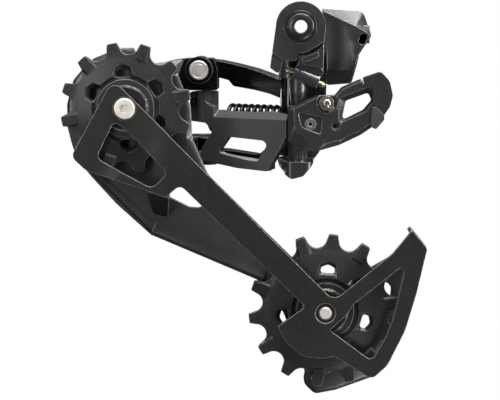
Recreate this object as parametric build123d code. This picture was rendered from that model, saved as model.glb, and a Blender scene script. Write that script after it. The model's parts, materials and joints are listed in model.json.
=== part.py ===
from build123d import *
import math
import os

# Rear bicycle derailleur, millimetres.
# Origin: on the hanger bolt's axis, at the face that meets the frame's hanger.
# +X points to the rear of the bicycle, +Z up, +Y outboard, away from the wheel.

# ---- driving dimensions -------------------------------------------------------------------
FIT = 0.03                      # radial clearance of every running fit
GAP = 0.1                       # end clearance between pieces that turn past each other
AXIS_B = (0, 0)

# hanger bolt and stop plate
THREAD_R = 5.0
THREAD_LENGTH = 9.0
SHOULDER_R = 6.2
SHOULDER_END = 31.0
BOLT_HEAD_R = 8.4
BOLT_HEAD_T = 3.6
BOLT_HEX = 5.0                  # across flats, met by a bore right through the bolt
STOP_PLATE_T = 3.0
STOP_PLATE_R = 9.75
STOP_SKIRT_R = 11.1
HUB_R = 9.6
HUB_BORE_R = 7.4
HUB_FRONT = 3.2
HUB_BACK = 30.0

# parallelogram: every link pivot stands along Z
LINK_LENGTH = 45.0
LINK_ANGLE = 33.0               # degrees outboard of straight ahead, at rest
B_INNER = (-1.0, 6.0)
B_OUTER = (-4.0, 24.0)
LINK_COS = math.cos(math.radians(LINK_ANGLE))
LINK_SIN = math.sin(math.radians(LINK_ANGLE))
P_INNER = (B_INNER[0] - LINK_LENGTH * LINK_COS, B_INNER[1] + LINK_LENGTH * LINK_SIN)
P_OUTER = (B_OUTER[0] - LINK_LENGTH * LINK_COS, B_OUTER[1] + LINK_LENGTH * LINK_SIN)
PIN_R = 2.0
BUSH_R = 2.9
OPEN_PIVOT_GAP = 0.12           # radial clearance at the pivot where the linkage loop is opened
LINK_NEAR = -4.5                # near face of the inner link, from its pivot line
LINK_BACK = -1.3
EYE_R = 4.2

# heights of the link eyes and the ears that hold them
B_EAR_INNER = -30.9
B_EAR_OUTER = -20.6
B_EAR_LOW = -52.4
LEVER_TOP = -31.0
LEVER_BOTTOM = -47.8
EYE_UP = (-38.6, -26.4)
EYE_LOW = (-56.6, -51.3)
P_EAR_LOW = (-51.1, -45.6)

# cable lever
LEVER_FRONT = -1.5
LEVER_BACK = 3.0
ANCHOR = (10.2, -29.7)
LIMIT_LOW = (3.9, -37.9)
LIMIT_HIGH = (13.6, -38.6)

# cage and pulleys
PITCH = 12.7
ROLLER_SEAT_R = 3.98
PULLEY_Y = -10.0
UPPER = (-67.3, -31.2)
LOWER = (9.9, -109.8)
UPPER_TIP_R = 25.3
LOWER_TIP_R = 29.9
NARROW_HALF_T = 1.1
WIDE_HALF_T = 1.95
PULLEY_HUB_R = 11.1
PULLEY_HUB_HALF_T = 2.8
GROOVE_HALF_T = 1.3               # groove round the hub ring
WEB_HALF_T = 2.5                  # web, at the groove's outer edge
BEARING_R = 9.0
BEARING_HALF_T = 2.3
RACE_INNER_R = 5.2
RACE_OUTER_R = 7.6
BOLT_R = 2.9
PLATE_T = 1.8
NEAR_PLATE_Y = -17.3            # near face of the inner cage plate
NEAR_STEP = 1.4                 # how far the loop round the upper pulley is set back
FAR_PLATE_Y = -5.8              # near face of the outer cage plate
FAR_BACK = -3.8
RIM_DEPTH = 1.2                  # sloping rim of the outer plate
RIM_WIDTH = 2.0
CAGE_PIVOT = (-60.5, -36.5)
CAGE_AXLE_R = 5.0
CAGE_HEAD_R = 5.6
STOP_PIN_RADIUS = 17.2          # from the cage pivot

# P-knuckle
HOUSING_R = 14.6
HOUSING_FRONT = -3.0
HOUSING_BACK = 38.0
HOUSING_WALL = (10.5, 17.0)
LOCK_BUTTON = (-41.3, -17.6)
LOCK_BUTTON_R = 3.9
LOCK_BOSS_R = 5.5

# B-tension screw
B_SCREW_TIP = Vector(-6.2, 6.0, -16.6)
B_SCREW_END = Vector(8.9, 6.0, -23.0)
B_SCREW_R = 1.5
B_SCREW_AXIS = (B_SCREW_END - B_SCREW_TIP).normalized()

# stop for the cable's outer housing
HOUSING_STOP = (24.0, -3.2)     # y, z of its bore
FERRULE_X = (18.6, 27.6)
FERRULE_R = 3.6
CABLE_HOUSING_R = 2.55

# springs
RETURN_SPRING_R = 3.9
RETURN_WIRE_R = 0.85
RETURN_PITCH = 3.1
RETURN_TURNS = 9
RETURN_AXIS_Z = -36.0
RETURN_AXIS_W = 3.9             # from the inner link's pivot line


# ---- helpers ------------------------------------------------------------------------------
def outline(points):
    """Closed face from (u, v, corner radius) points."""
    corners = [(u, v) for u, v, _ in points]
    radii = [radius for _, _, radius in points]
    return make_face(FilletPolyline(*corners, radius=radii, close=True))


def slab(face, y0, y1):
    """Face drawn in X and Z, made solid from y0 to y1."""
    return Pos(0, y1, 0) * extrude(Plane.XZ * face, amount=y1 - y0)


def disc(centre, radius, y0, y1):
    """Cylinder along Y."""
    return Pos(centre[0], 0, centre[1]) * slab(Circle(radius), y0, y1)


def ring(centre, inner, outer, y0, y1):
    return disc(centre, outer, y0, y1) - disc(centre, inner, y0 - 1, y1 + 1)


def post(centre, radius, z0, z1):
    """Cylinder along Z."""
    return Pos(centre[0], centre[1], (z0 + z1) / 2) * Cylinder(radius, z1 - z0)


def tube(centre, inner, outer, z0, z1):
    return post(centre, outer, z0, z1) - post(centre, inner, z0 - 1, z1 + 1)


def rod(start, end, radius):
    """Cylinder between two points."""
    base = Cylinder(radius, (end - start).length, align=(Align.CENTER, Align.CENTER, Align.MIN))
    return Plane(origin=start, z_dir=end - start) * base


def plan(points, z0, z1):
    """Outline drawn in X and Y, made solid from z0 to z1."""
    return Pos(0, 0, z0) * extrude(outline(points), amount=z1 - z0)


def link_frame(origin):
    """Local x runs along the link, local y is up, local z points outboard."""
    return Plane(origin=(origin[0], origin[1], 0), x_dir=(-LINK_COS, LINK_SIN, 0),
                 z_dir=(LINK_SIN, LINK_COS, 0))


def link_slab(origin, points, w0, w1):
    """Outline drawn along the link and up, made solid from w0 to w1 outboard of its line."""
    return link_frame(origin) * (Pos(0, 0, w0) * extrude(outline(points), amount=w1 - w0))


def polar(centre, angle, radius):
    a = math.radians(angle)
    return centre[0] + radius * math.cos(a), centre[1] + radius * math.sin(a)


def spoke(centre, angle, face):
    """Place a face drawn with +x pointing outwards at an angle about a centre."""
    return Pos(centre[0], centre[1]) * Rot(0, 0, angle) * face


def torx(centre, radius, y0, y1):
    """Six-lobed socket."""
    socket = Circle(radius * 0.78)
    for k in range(6):
        socket += Pos(*polar((0, 0), 60 * k, radius * 0.74)) * Circle(radius * 0.26)
    return Pos(centre[0], 0, centre[1]) * slab(socket, y0, y1)


def hexagon(centre, across_flats, y0, y1):
    face = RegularPolygon(across_flats / 2, 6, major_radius=False)
    return Pos(centre[0], 0, centre[1]) * slab(face, y0, y1)


def coil(pitch, turns, radius, wire_r):
    """Round wire wound about the Z axis, starting at z = 0."""
    path = Helix(pitch, pitch * turns, radius)
    section = Plane(path @ 0, z_dir=path % 0) * Circle(wire_r)
    return sweep(section, path, is_frenet=True)


# ---- hanger end ---------------------------------------------------------------------------
def b_bolt():
    bolt = disc(AXIS_B, THREAD_R, -THREAD_LENGTH, 0)
    bolt += disc(AXIS_B, SHOULDER_R, 0, SHOULDER_END)
    bolt += disc(AXIS_B, BOLT_HEAD_R, SHOULDER_END, SHOULDER_END + BOLT_HEAD_T)
    bolt = chamfer(bolt.edges().group_by(Axis.Y)[0], 0.6)
    bolt = fillet(bolt.edges().group_by(Axis.Y)[-1], 0.9)
    bolt -= disc(AXIS_B, BOLT_HEX / 2, -THREAD_LENGTH - 1, 20)
    return bolt - hexagon(AXIS_B, BOLT_HEX, 14, SHOULDER_END + 5)


def hanger_stop_plate():
    plate = disc(AXIS_B, STOP_PLATE_R, 0, STOP_PLATE_T)
    skirt = slab(outline([(-10, -3, 0), (9.3, -3, 0), (9.3, -5.9, 0), (3, -9.6, 0), (-1.6, -10.9, 0),
                          (-10, -12.5, 0)]), 0, STOP_PLATE_T)
    plate += skirt & disc(AXIS_B, STOP_SKIRT_R, -1, 5)
    plate += slab(outline([(-9.7, 0.5, 0), (-11.2, -10.2, 0.8), (-6, -13.2, 1.2), (-1.6, -13.3, 0.6),
                           (-1.6, -6, 0), (0, 0, 0)]), 0, STOP_PLATE_T)
    tab = slab(outline([(-11.2, -10.0, 0.5), (-12.0, -16.0, 0.8), (-9.0, -18.2, 1.0),
                        (-7.8, -16.8, 0.6), (-6.9, -12.6, 0.5)]), 0.5, 8.8)
    return plate + tab - disc(AXIS_B, SHOULDER_R + 0.35, -1, STOP_PLATE_T + 1)


def b_bolt_washer():
    return ring(AXIS_B, SHOULDER_R, 8.9, HUB_BACK + GAP, SHOULDER_END)


def b_bolt_clip():
    clip = ring(AXIS_B, SHOULDER_R, 7.3, HUB_FRONT + 0.2, HUB_FRONT + 1.0)
    return clip - slab(Pos(5, 5) * Rot(0, 0, 45) * Rectangle(5, 2.2), 0, 10)


# ---- B-knuckle ----------------------------------------------------------------------------
def cable_arm():
    """The rear arm: a deep casting that narrows to the rear, with a swept hollow in its near face."""
    near = outline([(8.6, 6.2, 0.5), (21.6, 0.2, 3.5), (27.9, -3.6, 1.8), (22.2, -11.6, 6),
                    (21.0, -17.3, 0.5), (10.3, -17.3, 0.5)])
    far = outline([(8.6, 7.2, 0.5), (25.6, 6.0, 3.0), (29.2, -4.0, 2.0), (23.6, -12.2, 6),
                   (22.0, -17.3, 0.5), (10.6, -17.3, 0.5)])
    body = loft([Pos(0, 8.5, 0) * (Plane.XZ * near), Pos(0, 38.5, 0) * (Plane.XZ * far)])
    body += slab(outline([(9.8, -12, 0), (24.0, -12, 0), (22.9, -16.5, 4), (20.9, -23.4, 1.5),
                          (10.4, -24.2, 1.5)]), 35.4, 38.5)
    sweep_r = 13.0
    hollow = Pos(13.6, 8.5 - sweep_r + 0.2, 0) * Rot(9, 0, 0) * Cylinder(sweep_r, 90)
    body -= hollow & slab(Pos(14, -8) * Rectangle(18, 30), -20, 30)
    return body


def b_knuckle():
    body = disc(AXIS_B, HUB_R, HUB_FRONT, HUB_BACK)
    body += cable_arm()
    # web and neck that carry the link ears
    body += slab(outline([(2.0, -4, 0), (10.6, -4, 0), (10.4, -24, 1), (9.0, -46, 3), (7.6, -50.5, 2),
                          (4.5, -54.5, 1), (2.0, -57.4, 0.5)]), 18.6, 30.0)
    body += slab(outline([(-1.2, -8, 0), (9.2, -6, 0), (9.0, -17.5, 1), (7.0, -21.5, 1.5),
                          (-1.2, -21.5, 1)]), HUB_FRONT, 12.0)
    # raised land on the near face, below the stop plate
    land = slab(outline([(-0.9, -9.4, 0), (8.9, -6.2, 0), (8.9, -16.6, 0.8), (5.5, -15.4, 2),
                         (-0.9, -14.2, 0.8)]), 1.1, HUB_FRONT + 0.5)
    body += land - disc(AXIS_B, STOP_SKIRT_R + 0.2, 0, HUB_FRONT)
    body += slab(outline([(0.8, -14.0, 0.5), (0.5, -12.2, 0.5), (7.4, -9.5, 0.6), (6.6, -11.9, 0.8)]),
                 0.3, 1.6)
    # boss of the B-tension screw
    body += rod(B_SCREW_TIP + B_SCREW_AXIS * 3.6, B_SCREW_TIP + B_SCREW_AXIS * 14.2, 3.95)
    # ears above and below both link pivots
    body += post(B_INNER, 3.6, -25.0, -18.0)
    body += Pos(B_INNER[0], B_INNER[1], (B_EAR_INNER - 25.0) / 2) * Cone(2.9, 3.6, -25.0 - B_EAR_INNER)
    body += post(B_OUTER, 5.0, B_EAR_OUTER, -6.0)
    ear = slab(outline([(-9.6, -53.0, 0.5), (-8.4, -56.4, 2.5), (-3.6, -59.9, 2.5), (1.2, -58.6, 2.0),
                        (4.6, -54.4, 1.0), (5.4, -53.0, 0.3)]), 1.0, 31.0)
    body += ear & plan([(-6.2, 1.2, 3.0), (4.4, 1.2, 3.0), (6.6, 14, 4), (6.6, 29.5, 1), (-8.2, 29.5, 4),
                        (-9.4, 20, 4), (-6.4, 9, 3)], -62, -50)
    body += post(B_INNER, 3.2, -53.5, B_EAR_LOW)
    # bores
    body -= disc(AXIS_B, HUB_BORE_R, HUB_FRONT - 3, HUB_BACK + 1)
    body -= disc(AXIS_B, HUB_BORE_R + 0.5, HUB_FRONT - 3, HUB_FRONT + 1.4)
    body -= post(B_INNER, PIN_R, -62, -21.6) + post(B_OUTER, PIN_R, -62, -12.2)
    body -= rod(B_SCREW_TIP - B_SCREW_AXIS, B_SCREW_END + B_SCREW_AXIS * 3, B_SCREW_R + FIT)
    # housing stop: a blind bore from the rear, met by an oval hole from the near face
    bore_y, bore_z = HOUSING_STOP
    body -= rod(Vector(FERRULE_X[0], bore_y, bore_z), Vector(40, bore_y, bore_z), FERRULE_R)
    hole = Pos(24.4, -4.9) * Rot(0, 0, -20) * SlotOverall(4.4, 2.8, rotation=90)
    return body - slab(hole, 6, bore_y)


def cable_ferrule():
    """Liner of the housing stop: the outer housing seats in it, the wire leaves at its end."""
    bore_y, bore_z = HOUSING_STOP
    start, end = (Vector(x, bore_y, bore_z) for x in FERRULE_X)
    liner = rod(start, end, FERRULE_R) - rod(start + Vector(1, 0, 0), end + Vector(1, 0, 0),
                                             CABLE_HOUSING_R)
    return liner - rod(start - Vector(1, 0, 0), end, 0.9)


def b_pivot_bush():
    front = ring(AXIS_B, SHOULDER_R + FIT, HUB_BORE_R, HUB_FRONT + 1.4, 12.0)
    back = ring(AXIS_B, SHOULDER_R + FIT, HUB_BORE_R, 21.0, HUB_BACK)
    return [front, back]


def b_screw():
    head_end = B_SCREW_END + B_SCREW_AXIS * 0.8
    screw = rod(B_SCREW_TIP, B_SCREW_END, B_SCREW_R) + rod(B_SCREW_END, head_end, 1.2)
    return screw - rod(B_SCREW_END - B_SCREW_AXIS * 0.6, head_end + B_SCREW_AXIS, 0.75)


def pivot_pin_b_inner():
    return post(B_INNER, PIN_R, -59.0, -21.6)


def pivot_pin_b_outer():
    return post(B_OUTER, PIN_R, -59.0, -12.2)


# ---- inner link ---------------------------------------------------------------------------
def inner_link():
    link = link_slab(B_INNER, [
        (2.8, -34.6, 0.6), (10.5, -33.6, 6), (19, -34.1, 20), (33, -34.0, 8), (41, -31.6, 5),
        (46.5, -26.5, 2), (50.2, -26.4, 1.5), (50.2, -38.6, 1.5), (42.5, -39.2, 1.5),
        (38.7, -42.0, 1.5), (40.4, -45.4, 1.5), (40.6, -51.3, 0.4), (49.2, -51.31, 0.4),
        (49.2, -54.4, 2), (43.5, -54.8, 3), (26.6, -56.9, 20), (11.6, -57.5, 1.5),
        (10.8, -55.6, 1.5), (4.6, -46.6, 3), (2.8, -43, 2)], LINK_NEAR, LINK_BACK)
    # shelf along the bottom
    link += link_slab(B_INNER, [(13.5, -54.3, 0.5), (43, -51.8, 0.5), (43, -54.8, 0.5), (27, -56.8, 9),
                                (13.5, -57.3, 0.5)], LINK_BACK - 0.1, 4.0)
    # long window
    link -= link_slab(B_INNER, [(36.6, -51.0, 1.5), (31.2, -44.4, 1.5), (14.0, -45.2, 3),
                                (11.6, -46.6, 1.5), (16.4, -53.6, 1.2), (20, -53.5, 3)],
                      LINK_NEAR - 1, LINK_BACK + 0.01)
    # slope of the top edge, drawn as (height, outboard) and run along the link
    slope = outline([(-36.6, LINK_NEAR - 1, 0), (-36.6, LINK_NEAR, 0), (-33.7, LINK_BACK, 0),
                     (-31, LINK_BACK + 1, 0), (-24, LINK_NEAR - 1, 0)])
    link -= link_frame(B_INNER) * extrude(Plane.YZ * slope, amount=38.0)
    # thin wall that hides the lower ear, then the eyes at the P end
    link += link_slab(B_INNER, [(38.0, -42.2, 0.3), (38.7, -42.2, 0.3), (44.6, -50.2, 0.6),
                                (44.6, -52.0, 0.3), (38.0, -52.0, 0.3)], LINK_NEAR, LINK_NEAR + 1.25)
    link += post(P_INNER, 5.0, *EYE_UP) + post(P_INNER, 4.3, *EYE_LOW)
    link -= post(B_INNER, BUSH_R, -60, -20) + post(P_INNER, BUSH_R, -60, -20)
    link -= post(B_INNER, EYE_R + 0.01, LEVER_BOTTOM, LEVER_TOP - 0.01)
    return link - _set_screw(0.0)


def _set_screw(shrink):
    """Grub screw into the upper P-end eye, square to the link's near face."""
    return link_frame(B_INNER) * (Pos(47.6, -31.1, LINK_NEAR - 0.3 + shrink) * Cylinder(
        1.9, 1.8 - shrink, align=(Align.CENTER, Align.CENTER, Align.MIN)))


def pivot_set_screw():
    socket = link_frame(B_INNER) * (Pos(47.6, -31.1, LINK_NEAR - 1) * extrude(
        RegularPolygon(0.9, 6), amount=1.8))
    return _set_screw(0.15) - socket


def inner_link_bush():
    bushes = [tube(B_INNER, PIN_R + FIT, BUSH_R, *span)
              for span in ((-36.0, LEVER_TOP), (LEVER_BOTTOM, -42.8))]
    bushes += [tube(P_INNER, PIN_R + FIT, BUSH_R, *span) for span in (EYE_UP, EYE_LOW)]
    return bushes


def lever_loop():
    """Plate and loop arm of the cable lever, sloped back towards its lower edge."""
    silhouette = outline([
        (-4.8, -32.4, 1.0), (1.9, -28.6, 2), (6.2, -26.7, 1.5), (13.4, -26.6, 1.5), (15.8, -23.6, 1.2),
        (24.0, -20.0, 1.0), (24.4, -22.2, 0.6), (29.1, -21.0, 1.5), (31.1, -23.0, 1.5),
        (31.1, -27.0, 3.0), (29.3, -31.5, 1.0), (31.0, -35.0, 1.0), (28.0, -39.0, 1.0),
        (23.3, -42.2, 6), (15.1, -46.1, 8), (6.4, -48.6, 5), (0.6, -48.0, 4), (-4.8, -45.0, 2)])
    raised = outline([
        (-2.5, -32.0, 1.0), (2.3, -29.5, 1.5), (6.4, -27.5, 1.5), (13.8, -27.4, 1.2), (16.1, -24.5, 1.2),
        (23.8, -20.9, 0.8), (24.2, -22.4, 0.5), (28.9, -21.3, 1.4), (30.8, -23.2, 1.4),
        (30.8, -26.9, 2.8), (29.0, -31.4, 1.0), (29.9, -34.6, 1.0), (27.4, -37.4, 1.0),
        (23.2, -40.2, 5), (17.0, -43.2, 5), (9.4, -45.4, 4), (3.2, -44.3, 4), (-2.4, -40.0, 2)])
    slope_y = LEVER_FRONT + 1.4
    face = loft([Pos(0, LEVER_FRONT, 0) * (Plane.XZ * raised), Pos(0, slope_y, 0) * (Plane.XZ * silhouette)])
    return face + slab(silhouette, slope_y, LEVER_BACK)


def cable_lever():
    lever = lever_loop()
    lever += post(B_INNER, EYE_R, LEVER_BOTTOM, LEVER_TOP)
    # window, wider at the near face
    wide = outline([(14.9, -27.6, 1.2), (28.0, -22.7, 1.2), (29.9, -26.6, 1.2), (25.4, -32.9, 2),
                    (14.9, -37.6, 1.0)])
    window = outline([(17.6, -28.8, 1.2), (26.4, -25.6, 1.2), (27.6, -28.6, 1.2), (24.4, -32.4, 2),
                      (16.0, -36.6, 1.0)])
    lever -= slab(window, LEVER_FRONT - 1, LEVER_BACK + 1)
    lever -= loft([Pos(0, LEVER_FRONT - 0.01, 0) * (Plane.XZ * wide), Pos(0, 0.6, 0) * (Plane.XZ * window)])
    # round seat for the anchor bolt, and the recessed diamond round the limit screw
    lever -= disc((ANCHOR[0] + 0.3, ANCHOR[1] + 0.2), 4.1, LEVER_FRONT - 1, LEVER_FRONT + 1.2)
    lever -= slab(outline([(-1.0, -33.1, 0.8), (8.6, -35.2, 1.2), (7.9, -41.9, 0.5), (0.3, -39.0, 3)]),
                  LEVER_FRONT - 1, LEVER_FRONT + 0.8)
    lever -= post(B_INNER, BUSH_R, -60, -20) + post(B_INNER, EYE_R, -52, LEVER_BOTTOM)
    lever -= post(B_INNER, 3.6, LEVER_TOP, -20)
    lever -= disc(LIMIT_LOW, 1.5, LEVER_FRONT - 1, 1.8) + disc(LIMIT_HIGH, 1.5, LEVER_FRONT - 1, 1.8)
    return lever - disc(ANCHOR, 1.5, -2, LEVER_BACK + 1)


def limit_screw(centre, front):
    """Grub screw with a raised collar round its socket."""
    screw = disc(centre, 1.5 - FIT, front, 1.7)
    return screw - hexagon(centre, 1.6, front - 1, front + 1.4)


def limit_screw_low():
    collar = ring(LIMIT_LOW, 1.4, 2.2, LEVER_FRONT + 0.2, LEVER_FRONT + 0.75)
    return limit_screw(LIMIT_LOW, LEVER_FRONT + 0.2) + collar


def limit_screw_high():
    return limit_screw(LIMIT_HIGH, LEVER_FRONT + 0.6)


def cable_anchor_bolt():
    head = disc(ANCHOR, 1.8, -3.7, -1.2)
    head = fillet(head.edges().group_by(Axis.Y)[0], 1.0)
    return head + disc(ANCHOR, 1.5, -1.2, LEVER_BACK + 0.8) - hexagon(ANCHOR, 1.3, -4.5, -2.9)


def cable_anchor_washer():
    washer = ring(ANCHOR, 1.5, 2.9, -1.2, -0.3)
    washer += slab(outline([(10.6, -32.2, 0.2), (13.0, -30.9, 0.3), (13.6, -32.0, 0.3),
                            (11.4, -33.4, 0.3)]), -1.9, -0.3)
    return washer - disc(ANCHOR, 1.5, -3, 2)


def cable_guide():
    """Curved shoe that the wire wraps round, with a groove in its outer rim."""
    shoe = slab(outline([(24.3, -19.8, 0.5), (31.2, -17.4, 1.5), (34.6, -21.0, 4), (35.9, -26.6, 4),
                         (34.8, -31.0, 4), (32.2, -34.8, 0.6), (28, -30, 1), (28, -24, 1),
                         (25, -23.5, 0.4)]), -1.6, 5.0)
    groove = slab(outline([(22, -18.8, 0), (31.4, -15.9, 3), (36.2, -20.6, 4), (37.6, -26.6, 4),
                           (36.2, -31.6, 4), (32, -38, 0), (40, -38, 0), (40, -14, 0), (22, -14, 0)]),
                  0.8, 2.6)
    rim = slab(outline([(22, -20.3, 0), (31.0, -18.4, 2), (33.9, -21.4, 4), (35.1, -26.6, 4),
                        (34.0, -30.7, 4), (31.4, -34.4, 0), (42, -38, 0), (42, -12, 0), (22, -12, 0)]),
               0.8, 2.6)
    behind = slab(outline([(20, -26, 0), (24.6, -21.9, 0), (29.1, -20.9, 1.6), (31.2, -23, 1.6),
                           (31.2, -27, 3), (29.6, -31.5, 1), (20, -36, 0)]), LEVER_BACK - 0.1, 6)
    shoe -= lever_loop() + behind + groove + rim
    return max(shoe.solids(), key=lambda piece: piece.volume)


def cable_guide_clip():
    clip = slab(outline([(27.9, -31.3, 0.4), (29.4, -31.0, 0.4), (32.6, -34.4, 0.8), (32.6, -36.0, 0.8),
                         (29.4, -39.9, 1.0), (27.4, -38.8, 0.6)]), LEVER_FRONT - 0.6, 5.0)
    clip -= lever_loop() + cable_guide()
    return max(clip.solids(), key=lambda piece: piece.volume)


def pivot_sleeve():
    """Knurled sleeve between the lever's barrel and the lower ear."""
    sleeve = tube(B_INNER, PIN_R + FIT, 4.0, B_EAR_LOW + GAP, LEVER_BOTTOM)
    for k in range(24):
        x, y = polar(B_INNER, 15 * k, 4.05)
        sleeve -= post((x, y), 0.22, B_EAR_LOW + 0.8, LEVER_BOTTOM - 0.5)
    return sleeve


# ---- outer link ---------------------------------------------------------------------------
def outer_link():
    link = link_slab(B_OUTER, [(-3.8, -22.6, 0.8), (3.8, -21.3, 10), (11, -19.1, 20), (18, -17.2, 20),
                               (27.8, -15.3, 30), (36, -14.0, 15), (49.4, -13.0, 3), (49.4, -21.0, 3),
                               (36, -20.8, 4), (27.8, -22.4, 20), (20.5, -24.0, 30), (11, -25.1, 20),
                               (-3.8, -25.4, 0.8)], -3.5, 3.5)
    link += link_slab(B_OUTER, [(33.5, -20.5, 1), (29.2, -24.8, 2), (18, -26.2, 20), (11, -27.5, 10),
                                (4.0, -29.6, 1), (4.0, -24, 0.5)], 0.5, 3.2)
    link += link_slab(B_OUTER, [(3.0, -41, 0.5), (3.2, -52.1, 0.3), (9.4, -52.3, 1), (13.5, -57.0, 2),
                                (28, -57.4, 20), (49.2, -57.0, 2), (49.2, -51.3, 1), (33, -51.1, 10),
                                (14, -52.6, 4), (7.5, -47.5, 5)], -3.0, 3.0)
    link += post(B_OUTER, 4.4, B_EAR_LOW + GAP, B_EAR_OUTER - GAP)
    # clear the ears at both ends
    link -= post(P_OUTER, 6.0, -51.2, -21.1) + post(P_OUTER, 6.0, -12.9, 0)
    link -= post(B_OUTER, 7.6, -62, B_EAR_LOW + GAP) + post(B_OUTER, 7.0, B_EAR_OUTER - GAP, 0)
    link -= post(B_OUTER, BUSH_R, -60, -10) + post(P_OUTER, BUSH_R, -60, -10)
    return link


def outer_link_bush():
    bushes = [tube(B_OUTER, PIN_R + FIT, BUSH_R, *span)
              for span in ((-27.0, B_EAR_OUTER - GAP), (B_EAR_LOW + GAP, -46.0))]
    bushes += [tube(P_OUTER, PIN_R + OPEN_PIVOT_GAP, BUSH_R, *span)
               for span in ((-20.9, -13.1), (-56.9, -51.4))]
    return bushes


def return_spring():
    """Extension spring between the links, with a half-loop hook at its P end."""
    wound = coil(RETURN_PITCH, RETURN_TURNS, RETURN_SPRING_R, RETURN_WIRE_R)
    start = 9.0
    frame = link_frame(B_INNER)
    body = Pos(start, RETURN_AXIS_Z, RETURN_AXIS_W) * Rot(0, 90, 0) * wound
    end = start + RETURN_PITCH * RETURN_TURNS
    hook_r = 3.6
    arc = CenterArc((end + hook_r + 0.6, -39.6, 0), hook_r, 180, 180)
    tip = Plane(arc @ 0, z_dir=arc % 0) * Circle(RETURN_WIRE_R)
    hook = Pos(0, 0, 1.6) * sweep(tip, arc)
    return [frame * body, frame * hook]


# ---- P-knuckle ----------------------------------------------------------------------------
def p_knuckle():
    body = disc(CAGE_PIVOT, HOUSING_R, HOUSING_FRONT, HOUSING_BACK)
    # head that holds the inner pivot and the cage lock
    body += slab(outline([(-66, -24.0, 2), (-60, -15.6, 4), (-52, -13.6, 3), (-46.5, -12.9, 3),
                          (-35.3, -12.8, 2), (-33.8, -18, 2), (-33.8, -25.9, 1), (-46.2, -25.9, 1.5),
                          (-48.5, -31, 3), (-53, -42, 3), (-62, -42, 2)]), 24.5, 37.0)
    body += disc(LOCK_BUTTON, LOCK_BOSS_R, 21.0, 36.0)
    body += plan([(-47.5, 33.0, 0), (-36.5, 33.0, 1), (-36.4, 50, 3), (-38.5, 53.9, 3),
                  (-45, 53.9, 3), (-47.5, 50, 3)], -25.9, -21.3)
    # lower ear, a plate from the housing to both pivots
    low = [(-60, 24.0, 0), (-46, 24.2, 3), (-40.6, 27.0, 2), (-35.6, 27.6, 2.5), (-35.2, 33.4, 2.5),
           (-37.4, 44.5, 4), (-37.0, 52.6, 3), (-45.8, 53.2, 3), (-47.6, 46, 4), (-48.2, 37.9, 1),
           (-60, 37.8, 0)]
    body += plan(low, *P_EAR_LOW)
    body -= post(P_INNER, 7.2, -45.7, -25.9)
    body -= post(P_INNER, 5.6, -51.2, -44.0) - post(P_INNER, 3.1, -52, -43)
    body += post(P_INNER, 3.1, *P_EAR_LOW)
    body += plan([(-41.5, 32.4, 0.5), (-36, 32.4, 0.5), (-36, 36, 0.5), (-41.5, 36, 0.5)], *P_EAR_LOW)
    # cage stops, reached by the stop pin at each end of its swing
    for angle in (190.0, 69.8):
        lug = Pos(*polar(CAGE_PIVOT, angle, 16.2)) * Rot(0, 0, angle) * Rectangle(5.0, 3.0)
        body += slab(lug, HOUSING_FRONT, 1.2)
    # spring chamber, wall bore and clutch chamber
    body -= disc(CAGE_PIVOT, 12.6, HOUSING_FRONT - 1, HOUSING_WALL[0])
    body -= disc(CAGE_PIVOT, 6.6, HOUSING_FRONT, HOUSING_BACK)
    body -= disc(CAGE_PIVOT, 11.6, HOUSING_WALL[1], HOUSING_BACK + 1)
    # bores
    body -= disc(LOCK_BUTTON, LOCK_BUTTON_R + 0.06, 20.0, 33.0)
    body -= post(P_INNER, PIN_R, -60, -22.0) + post(P_OUTER, PIN_R, -60, -21.0)
    for k in range(3):
        body -= disc(polar(CAGE_PIVOT, 90 + 120 * k, 13.1), 0.8, 30, 40)
    return body


def pivot_pin_p_inner():
    return [post(P_INNER, PIN_R, -38.4, -22.0), post(P_INNER, PIN_R, -56.4, -45.8)]


def pivot_pin_p_outer():
    return [post(P_OUTER, PIN_R, -25.8, -13.2), post(P_OUTER, PIN_R, -56.7, -45.8)]


def clutch_cover():
    cover = disc(CAGE_PIVOT, HOUSING_R, HOUSING_BACK + 0.4, 41.0)
    cover = fillet(cover.edges().group_by(Axis.Y)[-1], 1.6)
    cover += disc(CAGE_PIVOT, 11.3, 36.0, HOUSING_BACK + 0.5)
    cover -= disc(CAGE_PIVOT, 6.6, 35.0, 39.5)
    for k in range(3):
        centre = polar(CAGE_PIVOT, 90 + 120 * k, 13.1)
        cover -= disc(centre, 0.8, 35, 42) + disc(centre, 1.3, 39.6, 42)
    return cover


def clutch_cover_seal():
    seal = ring(CAGE_PIVOT, 11.6, HOUSING_R - 0.3, HOUSING_BACK, HOUSING_BACK + 0.4)
    for k in range(3):
        seal -= disc(polar(CAGE_PIVOT, 90 + 120 * k, 13.1), 1.0, 37, 40)
    return seal


def clutch_cover_screw():
    screws = []
    for k in range(3):
        centre = polar(CAGE_PIVOT, 90 + 120 * k, 13.1)
        screw = disc(centre, 0.8, 32.0, 39.6) + disc(centre, 1.3, 39.6, 40.6)
        screws.append(screw - hexagon(centre, 1.1, 40.0, 42))
    return screws


def clutch_hub():
    return ring(CAGE_PIVOT, CAGE_AXLE_R, 8.2, 19.0, 33.0)


def clutch_band():
    """Split friction band that grips the hub one way."""
    band = ring(CAGE_PIVOT, 8.3, 9.6, 20.0, 32.0)
    cx, cz = CAGE_PIVOT
    band -= slab(Pos(cx + 9, cz) * Rectangle(4, 1.6), 15, 35)
    for side in (-1, 1):
        band += slab(Pos(cx + 10.3, cz + side * 1.4) * Rectangle(2.2, 1.1), 20, 32)
    return band


def cage_torsion_spring():
    wound = coil(1.9, 4, 9.4, 0.85)
    return Pos(CAGE_PIVOT[0], 1.0, CAGE_PIVOT[1]) * Rot(-90, 0, 0) * wound


def cage_pivot_bush():
    return ring(CAGE_PIVOT, CAGE_AXLE_R + FIT, 6.6, *HOUSING_WALL)


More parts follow.
